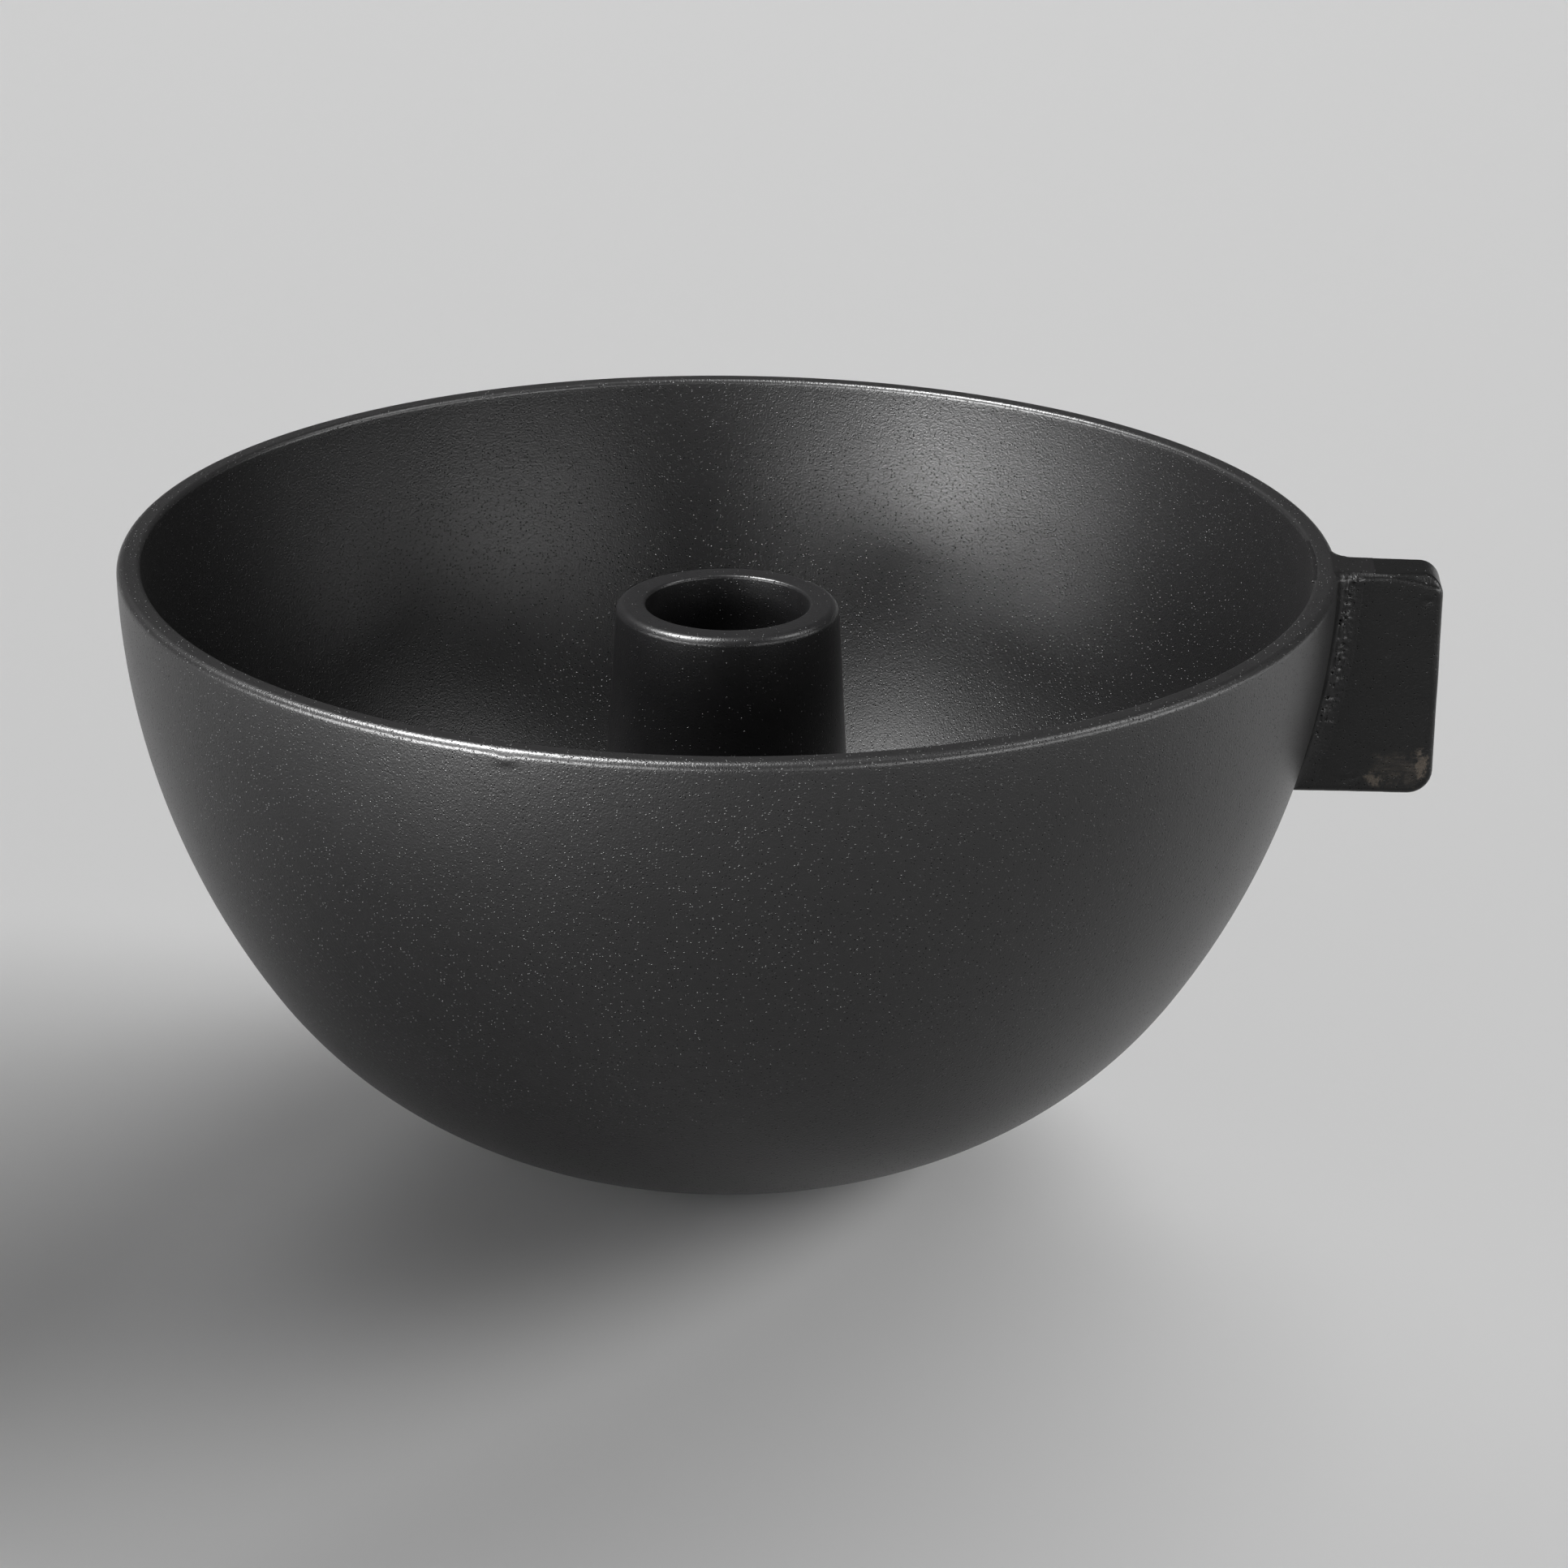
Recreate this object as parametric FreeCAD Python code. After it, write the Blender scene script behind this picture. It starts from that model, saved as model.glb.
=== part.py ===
"""Bowl candle holder: a round-bottomed metal bowl with a candle cup screwed to its floor and a
slab handle welded to its rim.

Millimetres.  The object stands on z = 0, the underside of its felt pad.  +Z is the axis of the
bowl and of the candle bore, and the handle points along +X.
"""
import FreeCAD, Part
import os
from math import asin, cos, degrees, radians, sin, sqrt, tan

V = FreeCAD.Vector
UP = V(0, 0, 1)

# Driving dimensions ------------------------------------------------------------------------
# bowl: the outside is two arcs that run into each other, from an upright rim to a flat base;
# a slope is the angle between the wall and the vertical
RIM_R = 82.5
WALL_T = 3.2
FLOOR_T = 4.0
LIP_H = 1.5
RIM_SLOPE = 1.35
JOIN_SLOPE = 33.7
BASE_SLOPE = 75.0
UPPER_ARC_R = 103.7
LOWER_ARC_R = 61.2
RIM_OUTER_ROUND = 1.1
RIM_INNER_ROUND = 0.7
BASE_ROUND = 1.0
FLOOR_ROUND = 6.0

# candle cup: takes a 22 mm dinner candle
CUP_BELOW_RIM = 8.0
CUP_TOP_R = 15.2
CUP_TAPER = 3.4
CUP_LIP_ROUND = 1.3
CUP_FOOT_ROUND = 0.6
CANDLE_D = 22.0
CANDLE_CLEARANCE = 0.2
BORE_DEPTH = 25.0
BORE_MOUTH_ROUND = 0.5

# screw from below, M5 countersunk with a hexagon socket
SCREW_D = 5.0
SCREW_LENGTH = 16.0
SCREW_HEAD_D = 9.6
SCREW_HEAD_RIM = 0.3
SCREW_CLEARANCE = 0.05
SCREW_HOLE_D = 5.5
SCREW_TIP_GAP = 2.0
SCREW_TIP_BEVEL = 0.5
SOCKET_ACROSS_FLATS = 3.0
SOCKET_DEPTH = 1.9

# felt pad under the base
FELT_T = 1.5
FELT_R = 26.0

# handle: a slab that reaches out from the rim
HANDLE_T = 8.0
HANDLE_REACH = 96.8
HANDLE_BELOW_RIM = 0.1
HANDLE_TOP_FALL = 0.3
HANDLE_H = 32.1
HANDLE_TOP_ROUND = 3.0
HANDLE_BOTTOM_ROUND = 3.5
HANDLE_EDGE_ROUND = 1.2
HANDLE_ROOT = 12.0

# weld beads round the handle's root; the one on top fills a bevel and is dressed flush
BEAD_R = 1.7
BEAD_TOP_GAP = 1.8
TOP_BEVEL = 2.0

# Derived places ----------------------------------------------------------------------------
BASE_Z = FELT_T
FLOOR_Z = BASE_Z + FLOOR_T
BORE_R = CANDLE_D / 2 + CANDLE_CLEARANCE


def normal_at(slope):
    """Outward normal of the wall, in the XZ plane, where its slope from the vertical is slope."""
    return V(cos(radians(slope)), 0, -sin(radians(slope)))


# centres of the two arcs, worked down from the rim
LIP_FOOT = V(RIM_R, 0, 0)
UPPER_CENTRE = LIP_FOOT - normal_at(RIM_SLOPE) * UPPER_ARC_R
LOWER_CENTRE = UPPER_CENTRE + normal_at(JOIN_SLOPE) * (UPPER_ARC_R - LOWER_ARC_R)
BASE_EDGE = LOWER_CENTRE + normal_at(BASE_SLOPE) * LOWER_ARC_R

# lift the whole profile so that its base edge lies on BASE_Z
LIFT = V(0, 0, BASE_Z - BASE_EDGE.z)
UPPER_CENTRE = UPPER_CENTRE + LIFT
LOWER_CENTRE = LOWER_CENTRE + LIFT
RIM_Z = LIFT.z + LIP_H
BASE_R = BASE_EDGE.x
CUP_TOP_Z = RIM_Z - CUP_BELOW_RIM
CUP_FOOT_R = CUP_TOP_R + (CUP_TOP_Z - FLOOR_Z) * tan(radians(CUP_TAPER))
HANDLE_TOP_Z = RIM_Z - HANDLE_BELOW_RIM
HANDLE_BOTTOM_Z = HANDLE_TOP_Z - HANDLE_H


# Helpers -----------------------------------------------------------------------------------
def line(a, b):
    return Part.LineSegment(a, b).toShape()


def wall_point(centre, radius, slope):
    return centre + normal_at(slope) * radius


def wall_arc(centre, radius, slope_a, slope_b):
    """Arc of the wall's profile between two slopes."""
    middle = (slope_a + slope_b) / 2
    ends = [wall_point(centre, radius, s) for s in (slope_a, middle, slope_b)]
    return Part.Arc(*ends).toShape()


def revolve(edges):
    """Solid of revolution about Z from a closed outline in the XZ plane."""
    return Part.Face(Part.Wire(edges)).revolve(V(0, 0, 0), UP, 360)


def is_ring_at(edge, radius, z, reach=0.5):
    """True for a circle about Z that lies near the given radius and height."""
    box = edge.BoundBox
    flat = box.ZLength < 1e-4
    return flat and abs(box.XMax - radius) < reach and abs(box.ZMax - z) < reach


def round_rings(solid, *rings):
    """Fillet circular edges, each given as (ring radius, height, fillet radius)."""
    for ring_r, ring_z, fillet in rings:
        edges = [e for e in solid.Edges if is_ring_at(e, ring_r, ring_z)]
        solid = solid.makeFillet(fillet, edges)
    return solid


# Bowl --------------------------------------------------------------------------------------
def bowl_outside():
    """The bowl as if it were filled to the rim, with its rim and base edges still sharp."""
    join = wall_point(LOWER_CENTRE, LOWER_ARC_R, JOIN_SLOPE)
    rim = V(RIM_R, 0, RIM_Z)
    lip_foot = V(RIM_R, 0, RIM_Z - LIP_H)
    base_edge = V(BASE_R, 0, BASE_Z)
    assert (join - wall_point(UPPER_CENTRE, UPPER_ARC_R, JOIN_SLOPE)).Length < 1e-6
    return revolve([
        line(V(0, 0, BASE_Z), base_edge),
        wall_arc(LOWER_CENTRE, LOWER_ARC_R, BASE_SLOPE, JOIN_SLOPE),
        wall_arc(UPPER_CENTRE, UPPER_ARC_R, JOIN_SLOPE, RIM_SLOPE),
        line(lip_foot, rim),
        line(rim, V(0, 0, RIM_Z)),
        line(V(0, 0, RIM_Z), V(0, 0, BASE_Z)),
    ])


def bowl_inside():
    """The hollow: the same arcs moved in by the wall's thickness, down to a flat floor."""
    upper_r = UPPER_ARC_R - WALL_T
    lower_r = LOWER_ARC_R - WALL_T
    floor_slope_sin = (LOWER_CENTRE.z - FLOOR_Z) / lower_r
    floor_r = LOWER_CENTRE.x + lower_r * sqrt(1 - floor_slope_sin ** 2)
    floor_edge = V(floor_r, 0, FLOOR_Z)
    join = wall_point(LOWER_CENTRE, lower_r, JOIN_SLOPE)
    lip_foot = wall_point(UPPER_CENTRE, upper_r, RIM_SLOPE)
    mouth = V(lip_foot.x, 0, RIM_Z)
    mid_slope = (JOIN_SLOPE + BASE_SLOPE) / 2
    hollow = revolve([
        line(V(0, 0, FLOOR_Z), floor_edge),
        Part.Arc(floor_edge, wall_point(LOWER_CENTRE, lower_r, mid_slope), join).toShape(),
        wall_arc(UPPER_CENTRE, upper_r, JOIN_SLOPE, RIM_SLOPE),
        line(lip_foot, mouth),
        line(mouth, V(0, 0, RIM_Z)),
        line(V(0, 0, RIM_Z), V(0, 0, FLOOR_Z)),
    ])
    return round_rings(hollow, (floor_r, FLOOR_Z, FLOOR_ROUND))


def screw_hole_in_floor():
    """Countersink for the screw's head, and a clearance hole for its shank."""
    head_r = SCREW_HEAD_D / 2 + SCREW_CLEARANCE
    hole_r = SCREW_HOLE_D / 2
    cone_foot_z = BASE_Z + SCREW_HEAD_RIM
    cone_h = head_r - hole_r
    mouth = Part.makeCylinder(head_r, SCREW_HEAD_RIM, V(0, 0, BASE_Z))
    cone = Part.makeCone(head_r, hole_r, cone_h, V(0, 0, cone_foot_z))
    hole = Part.makeCylinder(hole_r, FLOOR_T, V(0, 0, BASE_Z))
    return mouth.fuse([cone, hole])


def bowl_shell():
    shell = bowl_outside().cut(bowl_inside())
    inner_r = wall_point(UPPER_CENTRE, UPPER_ARC_R - WALL_T, RIM_SLOPE).x
    shell = round_rings(
        shell,
        (RIM_R, RIM_Z, RIM_OUTER_ROUND),
        (inner_r, RIM_Z, RIM_INNER_ROUND),
        (BASE_R, BASE_Z, BASE_ROUND),
    )
    return shell.cut(screw_hole_in_floor())


# Candle cup --------------------------------------------------------------------------------
def candle_cup():
    """A tapered post with a blind bore for the candle and a tapped hole in its foot."""
    post = Part.makeCone(CUP_FOOT_R, CUP_TOP_R, CUP_TOP_Z - FLOOR_Z, V(0, 0, FLOOR_Z))
    bore = Part.makeCylinder(BORE_R, BORE_DEPTH, V(0, 0, CUP_TOP_Z - BORE_DEPTH))
    cup = round_rings(
        post.cut(bore),
        (CUP_TOP_R, CUP_TOP_Z, CUP_LIP_ROUND),
        (BORE_R, CUP_TOP_Z, BORE_MOUTH_ROUND),
        (CUP_FOOT_R, FLOOR_Z, CUP_FOOT_ROUND),
    )
    thread_depth = SCREW_LENGTH - FLOOR_T + SCREW_TIP_GAP
    return cup.cut(Part.makeCylinder(SCREW_D / 2, thread_depth, V(0, 0, FLOOR_Z)))


def cup_screw():
    """M5 countersunk screw, its head flush with the base and its shank up in the cup's foot."""
    shank_r = SCREW_D / 2 - SCREW_CLEARANCE
    head_r = SCREW_HEAD_D / 2
    cone_z = BASE_Z + SCREW_HEAD_RIM
    neck_z = cone_z + head_r - shank_r
    tip_z = BASE_Z + SCREW_LENGTH
    screw = revolve([
        line(V(0, 0, BASE_Z), V(head_r, 0, BASE_Z)),
        line(V(head_r, 0, BASE_Z), V(head_r, 0, cone_z)),
        line(V(head_r, 0, cone_z), V(shank_r, 0, neck_z)),
        line(V(shank_r, 0, neck_z), V(shank_r, 0, tip_z - SCREW_TIP_BEVEL)),
        line(V(shank_r, 0, tip_z - SCREW_TIP_BEVEL), V(shank_r - SCREW_TIP_BEVEL, 0, tip_z)),
        line(V(shank_r - SCREW_TIP_BEVEL, 0, tip_z), V(0, 0, tip_z)),
        line(V(0, 0, tip_z), V(0, 0, BASE_Z)),
    ])
    corner_r = SOCKET_ACROSS_FLATS / 2 / cos(radians(30))
    corners = [V(corner_r * cos(radians(a)), corner_r * sin(radians(a)), BASE_Z)
               for a in range(0, 361, 60)]
    socket = Part.Face(Part.makePolygon(corners)).extrude(UP * SOCKET_DEPTH)
    return screw.cut(socket)


# Felt pad ----------------------------------------------------------------------------------
def felt_pad():
    """A plain disc stuck under the base, over the screw's head."""
    return Part.makeCylinder(FELT_R, FELT_T)


# Handle ------------------------------------------------------------------------------------
def slab():
    """The handle's slab with rounded corners, before its root is cut to fit the bowl."""
    root_x = RIM_R - HANDLE_ROOT
    top_out = V(HANDLE_REACH, 0, HANDLE_TOP_Z - HANDLE_TOP_FALL)
    bottom_out = V(HANDLE_REACH, 0, HANDLE_BOTTOM_Z)
    corners = [V(root_x, 0, HANDLE_BOTTOM_Z), bottom_out, top_out, V(root_x, 0, HANDLE_TOP_Z)]
    side = Part.Face(Part.makePolygon(corners + corners[:1]))
    side.translate(V(0, HANDLE_T / 2, 0))
    solid = side.extrude(V(0, -HANDLE_T, 0))
    for corner, fillet in ((top_out, HANDLE_TOP_ROUND), (bottom_out, HANDLE_BOTTOM_ROUND)):
        edges = [e for e in solid.Edges if is_cross_edge(e, corner)]
        solid = solid.makeFillet(fillet, edges)
    outline = [e for e in solid.Edges if is_side_edge(e, root_x)]
    return solid.makeFillet(HANDLE_EDGE_ROUND, outline)


def top_bevel():
    """The room for the top bead: it widens from the bowl's wall up to the handle's top."""
    foot = V(0, 0, HANDLE_TOP_Z - TOP_BEVEL)
    return Part.makeCone(RIM_R, RIM_R + TOP_BEVEL, TOP_BEVEL, foot)


def handle_tab():
    """The slab, its root cut to the outside of the bowl and bevelled on top for the bead."""
    return slab().cut(bowl_outline_rounded()).cut(top_bevel())


def is_cross_edge(edge, corner):
    """True for an edge across the slab's thickness that passes through a corner."""
    middle = edge.CenterOfMass
    return abs(middle.x - corner.x) + abs(middle.y) + abs(middle.z - corner.z) < 1e-3


def is_side_edge(edge, root_x):
    """True for an edge of the slab's two side faces, other than the ends at its root."""
    box = edge.BoundBox
    on_side = box.YLength < 1e-4 and abs(abs(box.YMax) - HANDLE_T / 2) < 1e-4
    return on_side and box.XMax > root_x + 1e-3


def bowl_outline_rounded():
    """The filled bowl with its rim edge rounded, to cut other pieces back to its surface."""
    return round_rings(bowl_outside(), (RIM_R, RIM_Z, RIM_OUTER_ROUND))


def wall_slope_at(z):
    """Slope of the outer wall at a height on its upper arc."""
    return degrees(asin((UPPER_CENTRE.z - z) / UPPER_ARC_R))


def tube(path, bead_r, start, direction):
    """Round bar along one edge."""
    ring = Part.Wire(Part.makeCircle(bead_r, start, direction))
    return Part.Wire(path).makePipeShell([ring], True, True)


def side_bead(side):
    """Bead down one side of the handle: side is -1 for the front and 1 for the back."""
    top_slope = wall_slope_at(HANDLE_TOP_Z - BEAD_TOP_GAP)
    bottom_slope = wall_slope_at(HANDLE_BOTTOM_Z)
    sag = RIM_R - sqrt(RIM_R ** 2 - (HANDLE_T / 2) ** 2)
    shift = V(-sag, side * HANDLE_T / 2, 0)
    path = wall_arc(UPPER_CENTRE + shift, UPPER_ARC_R, top_slope, bottom_slope)
    along = V(sin(radians(top_slope)), 0, cos(radians(top_slope)))
    start = wall_point(UPPER_CENTRE + shift, UPPER_ARC_R, top_slope)
    return tube(path, BEAD_R, start, along)


def under_bead():
    """Bead across the handle's thickness, along its bottom edge."""
    half = HANDLE_T / 2
    wall_r = wall_point(UPPER_CENTRE, UPPER_ARC_R, wall_slope_at(HANDLE_BOTTOM_Z)).x
    end_x = sqrt(wall_r ** 2 - half ** 2)
    start = V(end_x, -half, HANDLE_BOTTOM_Z)
    path = Part.Arc(start, V(wall_r, 0, HANDLE_BOTTOM_Z), V(end_x, half, HANDLE_BOTTOM_Z)).toShape()
    return tube(path, BEAD_R, start, V(half, end_x, 0))


def weld_beads():
    """The four beads, each cut back to the bowl, the handle and the beads before it."""
    bowl = bowl_outline_rounded()
    top = slab().common(top_bevel()).cut(bowl)
    front = side_bead(-1).cut(bowl).cut(slab())
    back = side_bead(1).cut(bowl).cut(slab())
    under = under_bead().cut(bowl).cut(slab()).cut(front).cut(back)
    return front, back, under, top


# Parts -------------------------------------------------------------------------------------
def main():
    front, back, under, top = weld_beads()
    parts = {
        "bowl_shell": bowl_shell(),
        "candle_cup": candle_cup(),
        "cup_screw": cup_screw(),
        "felt_pad": felt_pad(),
        "handle_tab": handle_tab(),
        "handle_weld_front": front,
        "handle_weld_back": back,
        "handle_weld_under": under,
        "handle_weld_top": top,
    }
    os.makedirs("parts", exist_ok=True)
    for name, shape in parts.items():
        shape.exportStep(f"parts/{name}.step")
        box = shape.BoundBox
        print(f"{name}: {len(shape.Solids)} solid, valid {shape.isValid()}, {shape.Volume:.0f} mm3,"
              f" x {box.XMin:.2f}..{box.XMax:.2f} y {box.YMin:.2f}..{box.YMax:.2f}"
              f" z {box.ZMin:.2f}..{box.ZMax:.2f}")


main()
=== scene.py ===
"""Looks of the bowl candle holder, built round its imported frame.  Metres, +Z up, handle along +X."""
import math

import bmesh
import bpy
import numpy as np
import openvdb
from mathutils import Matrix, Vector, noise


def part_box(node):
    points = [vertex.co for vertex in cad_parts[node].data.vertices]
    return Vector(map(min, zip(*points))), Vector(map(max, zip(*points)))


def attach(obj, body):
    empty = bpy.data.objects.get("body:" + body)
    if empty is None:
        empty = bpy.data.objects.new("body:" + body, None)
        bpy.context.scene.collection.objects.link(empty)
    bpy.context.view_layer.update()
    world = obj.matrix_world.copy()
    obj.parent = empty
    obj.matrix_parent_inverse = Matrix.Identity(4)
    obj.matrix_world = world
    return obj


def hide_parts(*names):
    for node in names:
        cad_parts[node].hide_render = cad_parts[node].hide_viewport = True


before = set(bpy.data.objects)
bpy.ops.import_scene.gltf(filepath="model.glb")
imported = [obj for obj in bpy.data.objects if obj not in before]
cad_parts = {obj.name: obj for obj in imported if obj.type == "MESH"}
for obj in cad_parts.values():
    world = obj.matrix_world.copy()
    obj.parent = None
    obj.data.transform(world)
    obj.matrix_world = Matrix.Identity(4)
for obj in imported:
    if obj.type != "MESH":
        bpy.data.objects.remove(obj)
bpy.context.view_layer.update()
MM = 0.001

# Sizes in millimetres, as in the frame -----------------------------------------------------
BASE_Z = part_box("bowl_shell")[0].z / MM
RIM_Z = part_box("bowl_shell")[1].z / MM
RIM_R = 82.5
WALL_T = 3.2
FLOOR_T = 4.0
LIP_H = 1.5
RIM_SLOPE, JOIN_SLOPE = 1.35, 33.7
UPPER_ARC_R, LOWER_ARC_R = 103.7, 61.2
RIM_OUTER_ROUND, RIM_INNER_ROUND = 1.1, 0.7
BASE_ROUND, FLOOR_ROUND = 1.0, 6.0
SCREW_HEAD_R, SCREW_HEAD_RIM, SCREW_HOLE_R = 4.85, 0.3, 2.75
SINK_TOP_Z = BASE_Z + SCREW_HEAD_RIM + SCREW_HEAD_R - SCREW_HOLE_R

CUP_TOP_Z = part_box("candle_cup")[1].z / MM
CUP_TOP_R, CUP_TAPER = 15.2, 3.4
CUP_LIP_ROUND, CUP_FOOT_ROUND = 1.3, 0.6
BORE_R, BORE_DEPTH = 11.2, 25.0
BORE_MOUTH_ROUND, BORE_FLOOR_ROUND = 0.5, 1.0
THREAD_R, THREAD_DEPTH = 2.5, 14.0

HANDLE_HALF_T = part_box("handle_tab")[1].y / MM
HANDLE_BOTTOM_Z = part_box("handle_tab")[0].z / MM
HANDLE_TOP_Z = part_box("handle_tab")[1].z / MM
HANDLE_TIP_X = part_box("handle_tab")[1].x / MM
HANDLE_ROOT_X = RIM_R - 12.0
HANDLE_TOP_FALL = 0.3
HANDLE_TOP_ROUND, HANDLE_BOTTOM_ROUND, HANDLE_EDGE_ROUND = 3.0, 3.5, 1.2

FELT_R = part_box("felt_pad")[1].x / MM
FLOOR_Z = BASE_Z + FLOOR_T


# Sections: lists of (radius, height) ---------------------------------------------------------
# how far apart the points are, and how far on the rounds that catch the light
STEP, FINE = 1.2, 0.12


def arc(centre, radius, start, end, step=STEP):
    """Points along an arc, angles in degrees from the outward horizontal, upwards positive."""
    count = max(3, round(abs(math.radians(end - start)) * radius / step))
    angles = [math.radians(start + (end - start) * i / count) for i in range(count + 1)]
    return [(centre[0] + radius * math.cos(a), centre[1] + radius * math.sin(a)) for a in angles]


def straight(a, b, step=STEP):
    """Points along a line, without its end."""
    count = max(1, round(math.dist(a, b) / step))
    return [(a[0] + (b[0] - a[0]) * i / count, a[1] + (b[1] - a[1]) * i / count) for i in range(count)]


def arc_centres():
    """Centres of the upper and lower wall arcs, worked down from the foot of the lip."""
    def out(slope):
        return np.array([math.cos(math.radians(slope)), -math.sin(math.radians(slope))])
    upper = np.array([RIM_R, RIM_Z - LIP_H]) - out(RIM_SLOPE) * UPPER_ARC_R
    lower = upper + out(JOIN_SLOPE) * (UPPER_ARC_R - LOWER_ARC_R)
    return upper, lower


UPPER_CENTRE, LOWER_CENTRE = arc_centres()


def foot_fillet(radius, plane_z, fillet):
    """Where a fillet runs from a circle about LOWER_CENTRE to a level plane below it."""
    centre_z = plane_z + fillet
    slope = math.asin((LOWER_CENTRE[1] - centre_z) / (radius - fillet))
    centre_r = LOWER_CENTRE[0] + (radius - fillet) * math.cos(slope)
    return (centre_r, centre_z), math.degrees(slope)


def bowl_section():
    """The wall's section, from the screw hole over the rim and back, finely stepped at the lip."""
    inner_upper, inner_lower = UPPER_ARC_R - WALL_T, LOWER_ARC_R - WALL_T
    floor_centre, floor_slope = foot_fillet(inner_lower, FLOOR_Z, FLOOR_ROUND)
    base_centre, base_slope = foot_fillet(LOWER_ARC_R, BASE_Z, BASE_ROUND)
    inner_r = UPPER_CENTRE[0] + inner_upper * math.cos(math.radians(RIM_SLOPE))
    cone_z = BASE_Z + SCREW_HEAD_RIM
    lip_slope = RIM_SLOPE + 2
    section = straight((SCREW_HOLE_R, FLOOR_Z), (floor_centre[0], FLOOR_Z))
    section += arc(floor_centre, FLOOR_ROUND, -90, -floor_slope, 0.5)
    section += arc(LOWER_CENTRE, inner_lower, -floor_slope, -JOIN_SLOPE)[1:]
    section += arc(UPPER_CENTRE, inner_upper, -JOIN_SLOPE, -RIM_SLOPE)[1:]
    section += arc((inner_r + RIM_INNER_ROUND, RIM_Z - RIM_INNER_ROUND), RIM_INNER_ROUND, 180, 90, FINE)
    section += arc((RIM_R - RIM_OUTER_ROUND, RIM_Z - RIM_OUTER_ROUND), RIM_OUTER_ROUND, 90, 0, FINE)
    section += arc(UPPER_CENTRE, UPPER_ARC_R, -RIM_SLOPE, -lip_slope, 0.3)
    section += arc(UPPER_CENTRE, UPPER_ARC_R, -lip_slope, -JOIN_SLOPE)[1:]
    section += arc(LOWER_CENTRE, LOWER_ARC_R, -JOIN_SLOPE, -base_slope)[1:]
    section += arc(base_centre, BASE_ROUND, -base_slope, -90, 0.2)[1:]
    section += straight((base_centre[0], BASE_Z), (SCREW_HEAD_R, BASE_Z))[1:]
    section += straight((SCREW_HEAD_R, BASE_Z), (SCREW_HEAD_R, cone_z), 0.3)
    section += straight((SCREW_HEAD_R, cone_z), (SCREW_HOLE_R, SINK_TOP_Z), 0.4)
    section += straight((SCREW_HOLE_R, SINK_TOP_Z), (SCREW_HOLE_R, FLOOR_Z), 0.4)
    return section


def cup_side_r(z):
    """Radius of the cup's tapered side at a height."""
    return CUP_TOP_R + (CUP_TOP_Z - z) * math.tan(math.radians(CUP_TAPER))


def cup_section():
    """The cup's section, from the bottom of the bore over the lip to the end of the tapped hole."""
    lip_z = CUP_TOP_Z - CUP_LIP_ROUND
    lip_r = cup_side_r(lip_z) - CUP_LIP_ROUND / math.cos(math.radians(CUP_TAPER))
    foot_z = FLOOR_Z + CUP_FOOT_ROUND
    foot_r = cup_side_r(foot_z) - CUP_FOOT_ROUND / math.cos(math.radians(CUP_TAPER))
    bore_z = CUP_TOP_Z - BORE_DEPTH
    thread_z = FLOOR_Z + THREAD_DEPTH
    mouth = (BORE_R + BORE_MOUTH_ROUND, CUP_TOP_Z - BORE_MOUTH_ROUND)
    section = straight((0, bore_z), (BORE_R - BORE_FLOOR_ROUND, bore_z))
    section += arc((BORE_R - BORE_FLOOR_ROUND, bore_z + BORE_FLOOR_ROUND), BORE_FLOOR_ROUND, -90, 0, 0.2)
    section += straight((BORE_R, bore_z + BORE_FLOOR_ROUND), (BORE_R, mouth[1]))[1:]
    section += arc(mouth, BORE_MOUTH_ROUND, 180, 90, 0.1)
    section += arc((lip_r, lip_z), CUP_LIP_ROUND, 90, CUP_TAPER, FINE)
    section += straight((cup_side_r(lip_z), lip_z), (cup_side_r(foot_z), foot_z))[1:]
    section += arc((foot_r, foot_z), CUP_FOOT_ROUND, CUP_TAPER, -90, FINE)
    section += straight((foot_r, FLOOR_Z), (THREAD_R, FLOOR_Z))[1:]
    section += straight((THREAD_R, FLOOR_Z), (THREAD_R, thread_z))
    section += straight((THREAD_R, thread_z), (0, thread_z), 0.8) + [(0, thread_z)]
    return section


# Meshes --------------------------------------------------------------------------------------
def make_piece(name, points_mm, faces, sharp_angle=35):
    """A mesh object from points in millimetres, shaded smooth except over sharp edges."""
    mesh = bpy.data.meshes.new(name)
    mesh.from_pydata([tuple(p) for p in np.asarray(points_mm) * MM], [], faces)
    mesh.validate()
    mesh.shade_smooth()
    mesh.set_sharp_from_angle(angle=math.radians(sharp_angle))
    piece = bpy.data.objects.new(name, mesh)
    bpy.context.scene.collection.objects.link(piece)
    return piece


def lathe(name, section, turns, shift=None):
    """Turns a section about Z.  It runs anticlockwise, and is a loop unless it ends on the axis.
    shift(r, z, turn) moves a point of the section outwards at one turn."""
    on_axis = section[0][0] == 0
    points, rings = [], []
    for r, z in section:
        first = len(points)
        if r == 0:
            points.append((0, 0, z))
            rings.append([first] * len(turns))
            continue
        for t in turns:
            moved = r + (shift(r, z, t) if shift else 0)
            points.append((moved * math.cos(t), moved * math.sin(t), z))
        rings.append(list(range(first, first + len(turns))))
    pairs = list(zip(rings, rings[1:])) + ([] if on_axis else [(rings[-1], rings[0])])
    faces = []
    for a, b in pairs:
        for i in range(len(turns)):
            j = (i + 1) % len(turns)
            corners = [a[i], a[j], b[j], b[i]]
            faces.append(list(dict.fromkeys(corners)))
    return make_piece(name, points, faces)


def even_turns(count):
    return [2 * math.pi * i / count for i in range(count)]


def adopt(piece, node):
    """The piece rides on the holder and stands for a CAD node."""
    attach(piece, "root")
    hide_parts(node)
    return piece


def smooth(value, low, high):
    """0 below low, 1 above high, and a smooth step between; works on numbers and arrays."""
    t = np.clip((value - low) / (high - low), 0, 1)
    return t * t * (3 - 2 * t)


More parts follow.
